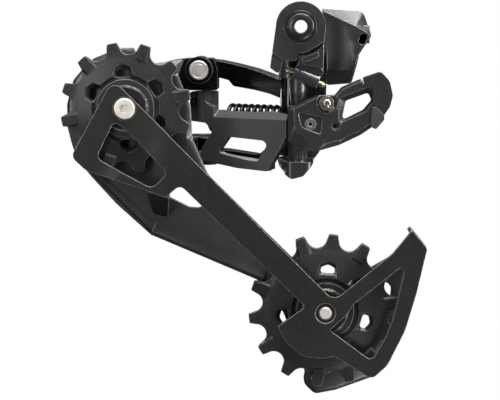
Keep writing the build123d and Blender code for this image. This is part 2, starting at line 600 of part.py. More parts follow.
def cage_lock_button():
    button = disc(LOCK_BUTTON, LOCK_BUTTON_R, 20.2, 28.0)
    button = fillet(button.edges().group_by(Axis.Y)[0], 0.5)
    button -= disc(LOCK_BUTTON, 2.9, 24.0, 29)
    return button - ring(LOCK_BUTTON, 2.6, 3.0, 19, 20.5)


def cage_lock_spring():
    wound = coil(1.4, 4, 2.4, 0.3)
    return Pos(LOCK_BUTTON[0], 27.1, LOCK_BUTTON[1]) * Rot(-90, 0, 0) * wound


# ---- cage ---------------------------------------------------------------------------------
BEND_NORMAL = Vector(0.571, 0, -0.821)    # across the bend lines of the inner plate
BEND_START = 3.2
BEND_END = 6.8


def stepped_sheet():
    """Endless sheet with the inner plate's step in it."""
    frame = Plane(origin=(0, 0, 0), x_dir=BEND_NORMAL, z_dir=(-BEND_NORMAL.Z, 0, BEND_NORMAL.X))
    loop_y = NEAR_PLATE_Y + NEAR_STEP
    profile = Polyline((-80, loop_y), (BEND_START, loop_y), (BEND_END, NEAR_PLATE_Y),
                       (160, NEAR_PLATE_Y), (160, NEAR_PLATE_Y + PLATE_T),
                       (BEND_END, NEAR_PLATE_Y + PLATE_T), (BEND_START, loop_y + PLATE_T),
                       (-80, loop_y + PLATE_T), close=True)
    return frame * extrude(make_face(profile), amount=200, both=True)


def cage_inner():
    plate = outline([
        (-71.6, -19.9, 3.5), (13.1, -104.9, 4.0), (35.5, -86.4, 6), (42.9, -77.2, 0.8),
        (48.7, -84.4, 0.8), (44.9, -101.5, 40), (40.7, -116.2, 25), (34.0, -130.0, 8),
        (28.0, -135.6, 3), (13.4, -126.4, 2), (9.0, -127.6, 6), (0.8, -126.6, 9), (-5.6, -120.8, 9),
        (-8.4, -115.0, 0.6), (2.2, -107.2, 1.2), (-46.0, -60.2, 2.5), (-51.4, -65.0, 0.8),
        (-61.0, -61.6, 8), (-71.0, -58.4, 12), (-82.0, -55.2, 6), (-88.0, -49.6, 3.0)])
    upper_window = outline([(-71.0, -35.4, 2.2), (-78.4, -50.1, 2.8), (-57.0, -61.6, 3.2),
                            (-50.4, -55.8, 2.6)])
    lower_window = outline([(40.6, -90.2, 1.2), (36.1, -111.1, 30), (32.8, -119.7, 12),
                            (27.8, -128.4, 2.2), (11.6, -116.4, 0.8), (18.2, -110.2, 3),
                            (20.6, -106.2, 2.5)])
    solid = slab(plate - upper_window - lower_window, -20, -10) & stepped_sheet()
    # tongue that leans over to the outer plate, and the turned-in end of the tail
    tongue = loft([Pos(0, -16.6, 0) * (Plane.XZ * outline([
        (-59.2, -60.6, 0), (-49.8, -63.2, 0), (-50.4, -65.5, 0), (-59.2, -63.0, 0)])),
        Pos(0, FAR_PLATE_Y, 0) * (Plane.XZ * outline([
            (-57.6, -70.8, 0), (-51.6, -72.2, 0), (-51.6, -74.3, 0), (-57.6, -72.9, 0)]))])
    solid += tongue
    solid += slab(outline([(41.6, -78.2, 0), (42.75, -77.2, 0), (48.55, -84.3, 0), (47.4, -85.2, 0)]),
                  NEAR_PLATE_Y + 0.3, FAR_PLATE_Y)
    # shallow dish round the lower pulley's bolt
    solid -= ring(LOWER, 2.5, 3.9, NEAR_PLATE_Y - 1, NEAR_PLATE_Y + 0.6)
    solid -= disc(UPPER, 4.45, -20, -10)
    return solid - disc(LOWER, 2.4, -20, -10)


def cage_outer():
    edge = [
        (-88.4, -20.6, 5), (-84.8, -16.4, 8), (-80.4, -12.2, 8), (-70, -8.1, 8), (-64.6, -8.1, 1.2),
        (-62.2, -14.9, 1.5), (-45.0, -12.5, 0.8), (-47.6, -18.5, 2), (-42.6, -31, 8),
        (-42.2, -43, 10), (-36.0, -57.5, 12), (10.5, -103.4, 4), (36.5, -88.6, 6), (44.1, -79.0, 0.8),
        (47.6, -84.8, 0.8), (43.6, -101.5, 40), (39.4, -116.2, 25), (32.6, -130.0, 8),
        (28.6, -137.6, 2), (14.4, -142.9, 8), (6.0, -144.6, 3), (1.2, -140.0, 5), (2.0, -135.4, 3),
        (-6.4, -112.0, 15), (-14.9, -99.5, 12), (-58.5, -81.1, 1.5), (-72, -68.9, 30),
        (-83.0, -56.8, 30), (-88.4, -48.5, 20), (-91.0, -38, 8), (-91.0, -30, 8)]
    opening = outline([(-4.0, -101.5, 3), (7.0, -99.8, 5), (25.5, -101.5, 10), (36, -98.0, 3),
                       (35.2, -108, 8), (28.0, -124.0, 10), (19.5, -130.8, 6), (6.5, -130.8, 8),
                       (-2.0, -119.5, 10)])
    hub = Pos(*LOWER) * Circle(8.0)
    strut = outline([(-14, -88, 0), (-5, -86, 0), (15, -108, 0), (8, -114, 0)])
    strut += outline([(8, -108, 0), (34, -132, 0), (27, -137, 0), (6, -114, 0)])
    strut += outline([(6, -106, 0), (36, -86, 0), (42, -92, 0), (12, -113, 0)])
    plate = slab(outline(edge), FAR_PLATE_Y, FAR_BACK)
    # sloping rim: round the upper pulley, down the rear side, and round the tail
    corners = [(x, z) for x, z, radius in edge]
    for stretch in (corners[-2:] + corners[:6], corners[5:12], corners[11:25]):
        plate -= rim_slope(stretch)
    plate -= slab(opening - hub - strut, FAR_PLATE_Y - 1, 0)
    # window behind the inner plate's arm
    plate -= slab(outline([(-53.6, -65.0, 1.0), (-43.4, -70.1, 3), (-37.9, -70.4, 1.6),
                           (-38.4, -67.6, 1.0), (-44.3, -60.6, 1.5), (-49.6, -61.2, 1.5)]),
                  FAR_PLATE_Y - 1, 0)
    # bevelled ridge along the lower edge, high on its long run and low where it turns up
    plate += _lip((-58.5, -81.1), (-14.9, -99.5), FAR_PLATE_Y - 1.9, 5.6)
    plate += _lip((-84.0, -55.6), (-58.5, -81.1), FAR_PLATE_Y - 0.9, 4.0)
    plate -= disc(UPPER, BOLT_R, -10, 0) + disc(LOWER, BOLT_R, -10, 0)
    plate -= disc(CAGE_PIVOT, CAGE_HEAD_R, -10, 0)
    return plate


def rim_slope(points):
    """Wedges that slope the outer plate's near face back towards its edge."""
    wedges = []
    for start, end in zip(points, points[1:]):
        run = Vector(end[0] - start[0], 0, end[1] - start[1])
        along = run.normalized()
        frame = Plane(origin=Vector(start[0], 0, start[1]) - along * 0.5,
                      x_dir=(along.Z, 0, -along.X), z_dir=along)
        profile = Polyline((-1, FAR_PLATE_Y - 0.1), (RIM_WIDTH, FAR_PLATE_Y - 0.1),
                           (RIM_WIDTH, FAR_PLATE_Y), (-1, FAR_PLATE_Y + RIM_DEPTH * 1.5), close=True)
        wedges.append(frame * extrude(make_face(profile), amount=run.length + 1))
    return Part() + wedges


def _lip(start, end, crest, width):
    """Ridge along an edge of the outer plate: a bevel outside, a longer slope inside."""
    run = Vector(end[0] - start[0], 0, end[1] - start[1])
    along = run.normalized()
    inward = Vector(-along.Z, 0, along.X)
    frame = Plane(origin=(start[0], 0, start[1]), x_dir=inward, z_dir=along)
    rise = 1 if frame.y_dir.Y > 0 else -1
    profile = Polyline((0, rise * FAR_BACK), (0, rise * (FAR_PLATE_Y + 0.4)), (1.6, rise * crest),
                       (2.0, rise * crest), (width, rise * (FAR_PLATE_Y + 0.01)),
                       (width, rise * FAR_BACK), close=True)
    return frame * extrude(make_face(profile), amount=run.length)


def cage_pivot_axle():
    axle = disc(CAGE_PIVOT, CAGE_HEAD_R, FAR_PLATE_Y, FAR_BACK)
    axle += disc(CAGE_PIVOT, CAGE_AXLE_R, FAR_BACK, 35.0)
    return axle - torx(CAGE_PIVOT, 2.6, 32.0, 36.0)


def upper_pulley_bolt():
    loop_back = NEAR_PLATE_Y + NEAR_STEP + PLATE_T
    head = disc(UPPER, 4.15, NEAR_PLATE_Y + 0.5, loop_back)
    head = fillet(head.edges().group_by(Axis.Y)[0], 0.7)
    bolt = head + disc(UPPER, BOLT_R, loop_back, FAR_BACK)
    return bolt - torx(UPPER, 2.0, NEAR_PLATE_Y - 1, NEAR_PLATE_Y + 1.9)


def lower_pulley_bolt():
    near_back = NEAR_PLATE_Y + PLATE_T
    bolt = disc(LOWER, 2.4, NEAR_PLATE_Y - 0.1, near_back) + disc(LOWER, BOLT_R, near_back, FAR_BACK)
    bolt += disc(LOWER, 4.15, FAR_BACK, FAR_BACK + 1.9)
    bolt = chamfer(bolt.edges().group_by(Axis.Y)[0], 0.35)
    bolt = fillet(bolt.edges().group_by(Axis.Y)[-1], 0.7)
    return bolt - torx(LOWER, 2.0, FAR_BACK + 0.6, FAR_BACK + 3)


def cage_stop_pin():
    return disc(polar(CAGE_PIVOT, 180, STOP_PIN_RADIUS), 1.4, FAR_BACK, 0.9)


def inner_race(centre):
    return ring(centre, BOLT_R, RACE_INNER_R, PULLEY_Y - BEARING_HALF_T, PULLEY_Y + BEARING_HALF_T)


def spacers(centre, near, far):
    """Dust covers on both sides of a pulley's bearing, each with the collar that spaces it."""
    pieces = []
    for side, limit in ((-1, near), (1, far)):
        face = PULLEY_Y + side * BEARING_HALF_T
        cap = PULLEY_Y + side * (PULLEY_HUB_HALF_T + 0.15)
        top = PULLEY_Y + side * (PULLEY_HUB_HALF_T + 0.75)
        collar = ring(centre, BOLT_R, 4.6, min(face, limit), max(face, limit))
        cover = ring(centre, BOLT_R, 8.3, min(cap, top), max(cap, top))
        pieces.append(collar + cover)
    return pieces


# ---- pulleys ------------------------------------------------------------------------------
def tooth_profile(teeth, tip_r, first_tooth):
    pitch_r = PITCH / (2 * math.sin(math.pi / teeth))
    face = Circle(tip_r)
    mouth = Polygon((pitch_r - 1.2, -3.8), (tip_r + 2, -6.3), (tip_r + 2, 6.3), (pitch_r - 1.2, 3.8),
                    align=None)
    for k in range(teeth):
        angle = first_tooth + 360 / teeth * (k + 0.5)
        face -= spoke((0, 0), angle, Pos(pitch_r, 0) * Circle(ROLLER_SEAT_R) + mouth)
    return face


def pulley(centre, teeth, tip_r, first_tooth, window_angle, window_r):
    """Narrow-wide pulley: every other tooth carries a block that fills the wide links."""
    root_r = PITCH / (2 * math.sin(math.pi / teeth)) - ROLLER_SEAT_R
    profile = tooth_profile(teeth, tip_r, first_tooth)
    body = slab(profile, -NARROW_HALF_T, NARROW_HALF_T)
    for k in range(0, teeth, 2):
        body += wide_block(first_tooth + 360 / teeth * k, root_r - 1.9, tip_r + 1.2) & slab(profile, -5, 5)
    # web, drawn as (radius, width): hub ring, groove, and a face that thins out to the teeth
    half = [(BEARING_R - 1, 0), (BEARING_R - 1, PULLEY_HUB_HALF_T), (PULLEY_HUB_R, PULLEY_HUB_HALF_T),
            (PULLEY_HUB_R + 0.1, GROOVE_HALF_T), (PULLEY_HUB_R + 1.0, GROOVE_HALF_T),
            (PULLEY_HUB_R + 2.0, WEB_HALF_T), (root_r - 2.4, 1.6), (root_r - 0.4, NARROW_HALF_T),
            (root_r - 0.4, 0)]
    half += [(r, -y) for r, y in half[-2:0:-1]]
    body += revolve(make_face(Polyline(*half, close=True)), Axis.Y)
    for k in range(teeth // 2):
        body -= pulley_window(window_angle + 720 / teeth * k, window_r)
    body -= disc((0, 0), BEARING_R, -5, 5)
    return Pos(centre[0], PULLEY_Y, centre[1]) * body


def wide_block(angle, inner_r, outer_r):
    """Bevelled block on both faces of a tooth."""
    base = spoke((0, 0), angle, Pos((inner_r + outer_r) / 2, 0) * Rectangle(outer_r - inner_r, 5.2))
    rise = WIDE_HALF_T - NARROW_HALF_T
    near = extrude(Pos(0, -NARROW_HALF_T, 0) * (Plane.XZ * base), amount=rise, taper=40)
    return slab(base, -NARROW_HALF_T, NARROW_HALF_T) + near + mirror(near, Plane.XZ)


def pulley_window(angle, window_r):
    """Cut of a window whose outer wall slopes in from both faces."""
    mouth = outline([(-3.0, -3.9, 1.0), (1.6, -3.3, 1.0), (3.6, 0, 2.4), (1.6, 3.3, 1.0),
                     (-3.0, 3.9, 1.0)])
    throat = outline([(-2.6, -2.8, 1.0), (-0.4, -2.6, 1.0), (0.9, 0, 2.0), (-0.4, 2.6, 1.0),
                      (-2.6, 2.8, 1.0)])
    near, middle = (Plane.XZ * spoke((0, 0), angle, Pos(window_r, 0) * face) for face in (mouth, throat))
    funnel = loft([Pos(0, -WEB_HALF_T - 0.1, 0) * near, Pos(0, -0.3, 0) * middle])
    straight = slab(spoke((0, 0), angle, Pos(window_r, 0) * throat), -0.4, 0.4)
    return funnel + straight + mirror(funnel, Plane.XZ)


def upper_pulley():
    return pulley(UPPER, 12, UPPER_TIP_R, 12.0, 34.0, 14.8)


def lower_pulley():
    return pulley(LOWER, 14, LOWER_TIP_R, 6.8, 86.8, 17.2)


def bearing(centre):
    """Outer race and its balls."""
    pieces = [ring(centre, RACE_OUTER_R, BEARING_R, PULLEY_Y - BEARING_HALF_T,
                   PULLEY_Y + BEARING_HALF_T)]
    ball_circle = (RACE_INNER_R + RACE_OUTER_R) / 2
    ball_r = (RACE_OUTER_R - RACE_INNER_R) / 2 - 0.02
    for k in range(10):
        x, z = polar(centre, 36 * k, ball_circle)
        pieces.append(Pos(x, PULLEY_Y, z) * Sphere(ball_r))
    return pieces


def shields(centre):
    """Thin plates that close a bearing on both sides."""
    return [ring(centre, RACE_INNER_R + 0.15, RACE_OUTER_R, PULLEY_Y + side * 1.9 - 0.15,
                 PULLEY_Y + side * 1.9 + 0.15) for side in (-1, 1)]


# ---- write --------------------------------------------------------------------------------
LOOP_BACK = NEAR_PLATE_Y + NEAR_STEP + PLATE_T
NEAR_BACK = NEAR_PLATE_Y + PLATE_T

NODES = {
    "b_bolt": b_bolt(),
    "hanger_stop_plate": hanger_stop_plate(),
    "b_bolt_washer": b_bolt_washer(),
    "b_bolt_clip": b_bolt_clip(),
    "b_knuckle": b_knuckle(),
    "cable_ferrule": cable_ferrule(),
    "b_pivot_bush": b_pivot_bush(),
    "b_screw": b_screw(),
    "pivot_pin_b_inner": pivot_pin_b_inner(),
    "pivot_pin_b_outer": pivot_pin_b_outer(),
    "inner_link": inner_link(),
    "pivot_set_screw": pivot_set_screw(),
    "inner_link_bush": inner_link_bush(),
    "cable_lever": cable_lever(),
    "limit_screw_low": limit_screw_low(),
    "limit_screw_high": limit_screw_high(),
    "cable_anchor_bolt": cable_anchor_bolt(),
    "cable_anchor_washer": cable_anchor_washer(),
    "cable_guide": cable_guide(),
    "cable_guide_clip": cable_guide_clip(),
    "pivot_sleeve": pivot_sleeve(),
    "outer_link": outer_link(),
    "outer_link_bush": outer_link_bush(),
    "return_spring": return_spring(),
    "p_knuckle": p_knuckle(),
    "pivot_pin_p_inner": pivot_pin_p_inner(),
    "pivot_pin_p_outer": pivot_pin_p_outer(),
    "clutch_cover": clutch_cover(),
    "clutch_cover_seal": clutch_cover_seal(),
    "clutch_cover_screw": clutch_cover_screw(),
    "clutch_hub": clutch_hub(),
    "clutch_band": clutch_band(),
    "cage_torsion_spring": cage_torsion_spring(),
    "cage_pivot_bush": cage_pivot_bush(),
    "cage_lock_button": cage_lock_button(),
    "cage_lock_spring": cage_lock_spring(),
    "cage_inner": cage_inner(),
    "cage_outer": cage_outer(),
    "cage_pivot_axle": cage_pivot_axle(),
    "cage_stop_pin": cage_stop_pin(),
    "upper_pulley_bolt": upper_pulley_bolt(),
    "lower_pulley_bolt": lower_pulley_bolt(),
    "upper_inner_race": inner_race(UPPER),
    "lower_inner_race": inner_race(LOWER),
    "upper_dust_cover": spacers(UPPER, LOOP_BACK, FAR_PLATE_Y),
    "lower_dust_cover": spacers(LOWER, NEAR_BACK, FAR_PLATE_Y),
    "upper_pulley": upper_pulley(),
    "lower_pulley": lower_pulley(),
    "upper_bearing": bearing(UPPER),
    "lower_bearing": bearing(LOWER),
    "upper_shield": shields(UPPER),
    "lower_shield": shields(LOWER),
}

os.makedirs("parts", exist_ok=True)
for name, shape in NODES.items():
    pieces = shape if isinstance(shape, list) else [shape]
    solids = [solid for piece in pieces for solid in piece.solids()]
    export_step(Compound(children=solids) if len(solids) > 1 else solids[0], f"parts/{name}.step")
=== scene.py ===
import bpy
import bmesh
import json
import math
from mathutils import Matrix, Vector


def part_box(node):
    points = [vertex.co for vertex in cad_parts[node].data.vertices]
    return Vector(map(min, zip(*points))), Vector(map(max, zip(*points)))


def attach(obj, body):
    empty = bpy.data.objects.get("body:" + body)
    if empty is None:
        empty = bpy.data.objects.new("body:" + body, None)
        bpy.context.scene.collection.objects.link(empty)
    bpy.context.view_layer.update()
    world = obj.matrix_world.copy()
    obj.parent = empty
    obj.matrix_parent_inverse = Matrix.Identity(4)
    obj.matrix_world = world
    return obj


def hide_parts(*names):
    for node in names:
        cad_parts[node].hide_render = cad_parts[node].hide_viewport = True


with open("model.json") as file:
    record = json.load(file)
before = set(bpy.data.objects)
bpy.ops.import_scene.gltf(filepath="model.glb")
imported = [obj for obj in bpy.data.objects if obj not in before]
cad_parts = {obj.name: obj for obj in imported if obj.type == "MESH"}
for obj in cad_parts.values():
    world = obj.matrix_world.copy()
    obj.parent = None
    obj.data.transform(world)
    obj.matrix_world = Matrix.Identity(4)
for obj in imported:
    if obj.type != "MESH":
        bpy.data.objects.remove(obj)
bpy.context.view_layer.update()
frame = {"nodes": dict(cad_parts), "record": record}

MM = 0.001

# shader settings shared by the finishes, in metres or shares
COAT_EDGE_R = 0.38 * MM         # width of the painted highlight line along each edge, partly edge wear
METAL_EDGE_R = 0.15 * MM
EDGE_START = 0.985              # lean of the rounded normal where the painted edge highlight begins
EDGE_FULL = 0.80
SPECKLE_GAIN = 2.6              # how much lighter the brightest grains are

# hanger bolt and B-tension screw
THREAD_R = 5.0 * MM
SHOULDER_R = 6.2 * MM
BOLT_BORE_R = 2.5 * MM
BOLT_SOCKET_R = 2.9 * MM
BOLT_HEAD_T = 3.6 * MM
BOLT_PITCH = 1.0 * MM
SCREW_R = 1.5 * MM
SCREW_LENGTH = 16.4 * MM
SCREW_PITCH = 0.5 * MM
TURNS_STEP = 1 / 8              # profile points per pitch, as a share of it

# knurled rims of the pulley bearings
RIM_INNER_R = 8.0 * MM
RIM_OUTER_R = 8.95 * MM
RIM_OFFSET = 2.3 * MM
RIM_KNURLS = 60
RIM_KNURL_DEPTH = 0.12 * MM


# ---- node helpers -------------------------------------------------------------------------
def new_material(name, base, roughness, metallic):
    mat = bpy.data.materials.new(name)
    mat.use_nodes = True
    shader = mat.node_tree.nodes["Principled BSDF"]
    shader.inputs["Base Color"].default_value = (*base, 1)
    shader.inputs["Roughness"].default_value = roughness
    shader.inputs["Metallic"].default_value = metallic
    return mat, mat.node_tree, shader


def add(tree, kind, **inputs):
    """New shader node with some of its inputs set."""
    node = tree.nodes.new(kind)
    for key, value in inputs.items():
        node.inputs[key.replace("_", " ")].default_value = value
    return node


def noise(tree, scale, detail, roughness):
    """Noise in the object's own metres."""
    coords = tree.nodes.new("ShaderNodeTexCoord")
    texture = add(tree, "ShaderNodeTexNoise", Scale=scale, Detail=detail, Roughness=roughness)
    tree.links.new(coords.outputs["Object"], texture.inputs["Vector"])
    return texture.outputs["Fac"]


def remap(tree, value, low, high, to_low, to_high):
    """Stretch of a value's span onto another, held at both ends."""
    node = tree.nodes.new("ShaderNodeMapRange")
    node.inputs["From Min"].default_value = low
    node.inputs["From Max"].default_value = high
    node.inputs["To Min"].default_value = to_low
    node.inputs["To Max"].default_value = to_high
    tree.links.new(value, node.inputs["Value"])
    return node.outputs["Result"]


def blend(tree, factor, colour_a, colour_b):
    """Mix of two colours, each a tuple or a socket."""
    mix = tree.nodes.new("ShaderNodeMix")
    mix.data_type = "RGBA"
    tree.links.new(factor, mix.inputs[0])
    for socket, colour in ((mix.inputs[6], colour_a), (mix.inputs[7], colour_b)):
        if isinstance(colour, tuple):
            socket.default_value = (*colour, 1)
        else:
            tree.links.new(colour, socket)
    return mix.outputs[2]


def bump(tree, shader, value, distance, strength, rounded):
    """Fine relief laid over the rounded normals."""
    node = add(tree, "ShaderNodeBump", Strength=strength, Distance=distance)
    tree.links.new(value, node.inputs["Height"])
    tree.links.new(rounded.outputs["Normal"], node.inputs["Normal"])
    tree.links.new(node.outputs["Normal"], shader.inputs["Normal"])


def rounded_edges(tree, radius):
    """Normals of the mesh as if its sharp edges were rounded."""
    node = add(tree, "ShaderNodeBevel", Radius=radius)
    node.samples = 4
    return node


def edge_mask(tree, rounded):
    """1 along sharp edges, 0 away from them: how far a rounded normal leans from the true one."""
    geometry = tree.nodes.new("ShaderNodeNewGeometry")
    dot = tree.nodes.new("ShaderNodeVectorMath")
    dot.operation = "DOT_PRODUCT"
    tree.links.new(rounded.outputs["Normal"], dot.inputs[0])
    tree.links.new(geometry.outputs["Normal"], dot.inputs[1])
    return remap(tree, dot.outputs["Value"], EDGE_START, EDGE_FULL, 0.0, 1.0)


def coated(name, dark, light, edge, roughness, grain, metallic=0.0, depth=0.02 * MM, sheen=0.5):
    """Dark finish: fine grain in colour, gloss and relief, broad tone changes, and a painted highlight
    along the edges, partly edge wear.
    """
    mat, tree, shader = new_material(name, light, roughness, metallic)
    shader.inputs["Specular IOR Level"].default_value = sheen
    fine = noise(tree, grain, 2.0, 0.6)
    broad = noise(tree, 70.0, 3.0, 0.5)
    colour = blend(tree, remap(tree, broad, 0.3, 0.7, 0.0, 1.0), dark, light)
    speckle = tuple(channel * SPECKLE_GAIN for channel in light)
    colour = blend(tree, remap(tree, fine, 0.5, 0.75, 0.0, 0.6), colour, speckle)
    rounded = rounded_edges(tree, COAT_EDGE_R)
    # painted highlight: the base colour turns to the edge colour along sharp edges, standing partly for
    # edge wear
    colour = blend(tree, edge_mask(tree, rounded), colour, edge)
    tree.links.new(colour, shader.inputs["Base Color"])
    tree.links.new(remap(tree, fine, 0.3, 0.7, roughness - 0.06, roughness + 0.08),
                   shader.inputs["Roughness"])
    bump(tree, shader, fine, depth, 0.6, rounded)
    return mat


def machined(name, base, tint, roughness):
    """Bare metal with fine tool marks and a slight change of tint."""
    mat, tree, shader = new_material(name, base, roughness, 1.0)
    fine = noise(tree, 2500.0, 3.0, 0.7)
    broad = noise(tree, 250.0, 2.0, 0.5)
    tree.links.new(blend(tree, remap(tree, broad, 0.35, 0.65, 0.0, 1.0), base, tint),
                   shader.inputs["Base Color"])
    tree.links.new(remap(tree, fine, 0.3, 0.7, roughness - 0.08, roughness + 0.1),
                   shader.inputs["Roughness"])
    bump(tree, shader, fine, 0.003 * MM, 0.4, rounded_edges(tree, METAL_EDGE_R))
    return mat


def grey(level):
    return (level, level, level)


# dark tone, light tone, painted edge highlight (partly edge wear), roughness, grain scale and the rest of
# each coating
COATINGS = {
    "anodised": dict(dark=(0.007, 0.007, 0.0073), light=(0.011, 0.011, 0.0114), edge=(0.26, 0.26, 0.25),
                     roughness=0.34, grain=3200.0, depth=0.01 * MM, sheen=0.8),
    # inner link: base tones raised above the other dark coatings as painted light, standing in for the
    # light falling on the link
    "satin_painted_light": dict(dark=(0.034, 0.034, 0.0335), light=(0.044, 0.044, 0.0435), edge=(0.34, 0.34, 0.33),
                  roughness=0.42, grain=3000.0, sheen=1.0),
    "forged": dict(dark=(0.008, 0.008, 0.0082), light=(0.012, 0.012, 0.0122), edge=(0.26, 0.26, 0.25),
                   roughness=0.32, grain=3200.0, depth=0.003 * MM, sheen=0.9),
    "plate": dict(dark=(0.0060, 0.0057, 0.0053), light=(0.0095, 0.0090, 0.0085),
                  edge=(0.52, 0.51, 0.48), roughness=0.45, grain=2400.0, depth=0.04 * MM, sheen=0.30),
    "stop_plate": dict(dark=(0.013, 0.013, 0.0127), light=(0.018, 0.018, 0.0177), edge=grey(0.30),
                       roughness=0.48, grain=2900.0, depth=0.03 * MM, sheen=0.32),
    "far_plate": dict(dark=(0.010, 0.0093, 0.0086), light=(0.019, 0.0176, 0.0163),
                      edge=(0.44, 0.43, 0.41), roughness=0.34, grain=2600.0, sheen=0.8),
    "gloss": dict(dark=grey(0.002), light=grey(0.003), edge=grey(0.20), roughness=0.15, grain=900.0,
                  depth=0.002 * MM, sheen=0.45),
    "pulley": dict(dark=(0.010, 0.010, 0.0102), light=(0.015, 0.015, 0.0153), edge=grey(0.34),
                   roughness=0.38, grain=2300.0, depth=0.04 * MM, sheen=0.38),
    "plastic": dict(dark=grey(0.008), light=grey(0.012), edge=grey(0.05), roughness=0.46,
                    grain=2600.0, sheen=0.3),
    "oxide": dict(dark=(0.012, 0.012, 0.013), light=(0.018, 0.018, 0.019), edge=(0.20, 0.195, 0.19),
                  roughness=0.28, grain=3000.0, metallic=0.4, depth=0.01 * MM),
    "spring": dict(dark=grey(0.006), light=grey(0.010), edge=grey(0.04), roughness=0.18, grain=1800.0,
                   metallic=0.5, depth=0.004 * MM),
    "rubber": dict(dark=grey(0.010), light=grey(0.014), edge=grey(0.02), roughness=0.7, grain=2500.0),
    "clip": dict(dark=grey(0.024), light=(0.034, 0.034, 0.033), edge=grey(0.20), roughness=0.36,
                 grain=2600.0),
    "collar": dict(dark=grey(0.05), light=grey(0.08), edge=grey(0.50), roughness=0.34, grain=2600.0,
                   depth=0.01 * MM),
}

# two tints and the roughness of each bare metal
METALS = {
    "steel": ((0.50, 0.49, 0.46), (0.60, 0.58, 0.55), 0.30),
    "bright": ((0.92, 0.86, 0.78), (0.84, 0.78, 0.70), 0.45),
    "satin_steel": ((0.78, 0.75, 0.71), (0.68, 0.65, 0.61), 0.48),
    "nickel": ((0.62, 0.57, 0.50), (0.50, 0.46, 0.40), 0.28),
    "bronze": ((0.45, 0.35, 0.20), (0.52, 0.41, 0.25), 0.38),
    "brass": ((0.80, 0.74, 0.60), (0.66, 0.59, 0.42), 0.26),
}

MATERIALS = {name: coated(name, **values) for name, values in COATINGS.items()}
MATERIALS.update({name: machined(name, *values) for name, values in METALS.items()})

# which nodes wear which finish
LOOK = {
    "anodised": ("cable_lever", "clutch_cover"),
    "satin_painted_light": ("inner_link",),
    "forged": ("b_knuckle",),
    "plate": ("cage_inner", "cage_stop_pin"),
    "stop_plate": ("hanger_stop_plate",),
    "far_plate": ("cage_outer",),
    "gloss": ("outer_link", "p_knuckle"),
    "pulley": ("upper_pulley", "lower_pulley"),
    "plastic": ("cable_guide", "cable_ferrule", "pivot_sleeve", "b_bolt_washer"),
    "oxide": ("b_bolt", "pivot_set_screw", "limit_screw_high", "cage_pivot_axle",
              "upper_dust_cover", "lower_dust_cover", "upper_shield", "lower_shield",
              "clutch_cover_screw"),
    "spring": ("return_spring",),
    "rubber": ("clutch_cover_seal",),
    "clip": ("cable_guide_clip",),
    "collar": ("limit_screw_low",),
    "steel": ("b_bolt_clip", "pivot_pin_b_inner", "pivot_pin_b_outer", "pivot_pin_p_inner",
              "pivot_pin_p_outer", "clutch_hub", "clutch_band", "cage_torsion_spring",
              "cage_lock_spring", "upper_inner_race", "lower_inner_race", "upper_bearing",
              "lower_bearing"),
    "bright": ("upper_pulley_bolt", "lower_pulley_bolt"),
    "nickel": ("cable_anchor_bolt", "cable_anchor_washer"),
    "satin_steel": ("cage_lock_button",),
    "bronze": ("b_pivot_bush", "inner_link_bush", "outer_link_bush", "cage_pivot_bush"),
    "brass": ("b_screw",),
}

# round broken onto the sharp edges of each large node, in millimetres
EDGE = {"b_knuckle": 0.10, "cable_lever": 0.06, "inner_link": 0.07, "outer_link": 0.08,
        "p_knuckle": 0.05, "cage_inner": 0.07, "cage_outer": 0.09, "hanger_stop_plate": 0.05,
        "upper_pulley": 0.08, "lower_pulley": 0.12, "cable_guide": 0.04, "cable_guide_clip": 0.04,
        "clutch_cover": 0.12, "cage_pivot_axle": 0.15, "cage_lock_button": 0.10}


def finish_nodes():
    """Give every node its finish, and break the edges of the large ones."""
    for look, names in LOOK.items():
        for name in names:
            obj = frame["nodes"][name]
            obj.data.materials.clear()
            obj.data.materials.append(MATERIALS[look])
    for name, radius in EDGE.items():
        soften(frame["nodes"][name], radius * MM)


def soften(obj, radius):
    """Break every sharp edge with a small round."""
    weld = obj.modifiers.new("weld", "WELD")
    weld.merge_threshold = 0.002 * MM
    edge = obj.modifiers.new("edge", "BEVEL")
    edge.limit_method = "ANGLE"
    edge.angle_limit = math.radians(35)
    edge.width = radius
    edge.segments = 2
    edge.use_clamp_overlap = False
    normals = obj.modifiers.new("normals", "WEIGHTED_NORMAL")
    normals.weight = 80


# ---- detailed pieces ----------------------------------------------------------------------
def centre_of(node):
    low, high = (Vector(corner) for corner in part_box(node))
    return (low + high) / 2


def new_piece(name, shape, look, body, node=None):
    """Object from a bmesh, riding on a body and standing for a CAD node if one is named."""
    mesh = bpy.data.meshes.new(name)
    bmesh.ops.recalc_face_normals(shape, faces=shape.faces)
    for face in shape.faces:
        face.smooth = True
    shape.to_mesh(mesh)
    shape.free()
    mesh.set_sharp_from_angle(angle=math.radians(40))
    mesh.materials.append(MATERIALS[look])
    obj = bpy.data.objects.new(name, mesh)
    bpy.context.collection.objects.link(obj)
    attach(obj, body)
    if node:
        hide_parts(node)


def lathe(shape, profile, place, sides, radius_at):
    """Closed solid turned from (axial, radius) points; place maps local points to the frame."""
    rings = []
    for axial, radius in profile:
        ring = []
        for k in range(sides):
            angle = math.tau * k / sides
            r = radius_at(axial, radius, angle)
            local = Vector((r * math.cos(angle), r * math.sin(angle), axial))
            ring.append(shape.verts.new(place @ local))
        rings.append(ring)
    for lower, upper in zip(rings, rings[1:] + rings[:1]):
        for k in range(sides):
            shape.faces.new((lower[k], lower[(k + 1) % sides], upper[(k + 1) % sides], upper[k]))


def along(origin, axis):
    """Matrix that stands local Z on an axis at a point."""
    return Matrix.Translation(origin) @ Vector(axis).to_track_quat("Z", "Y").to_matrix().to_4x4()


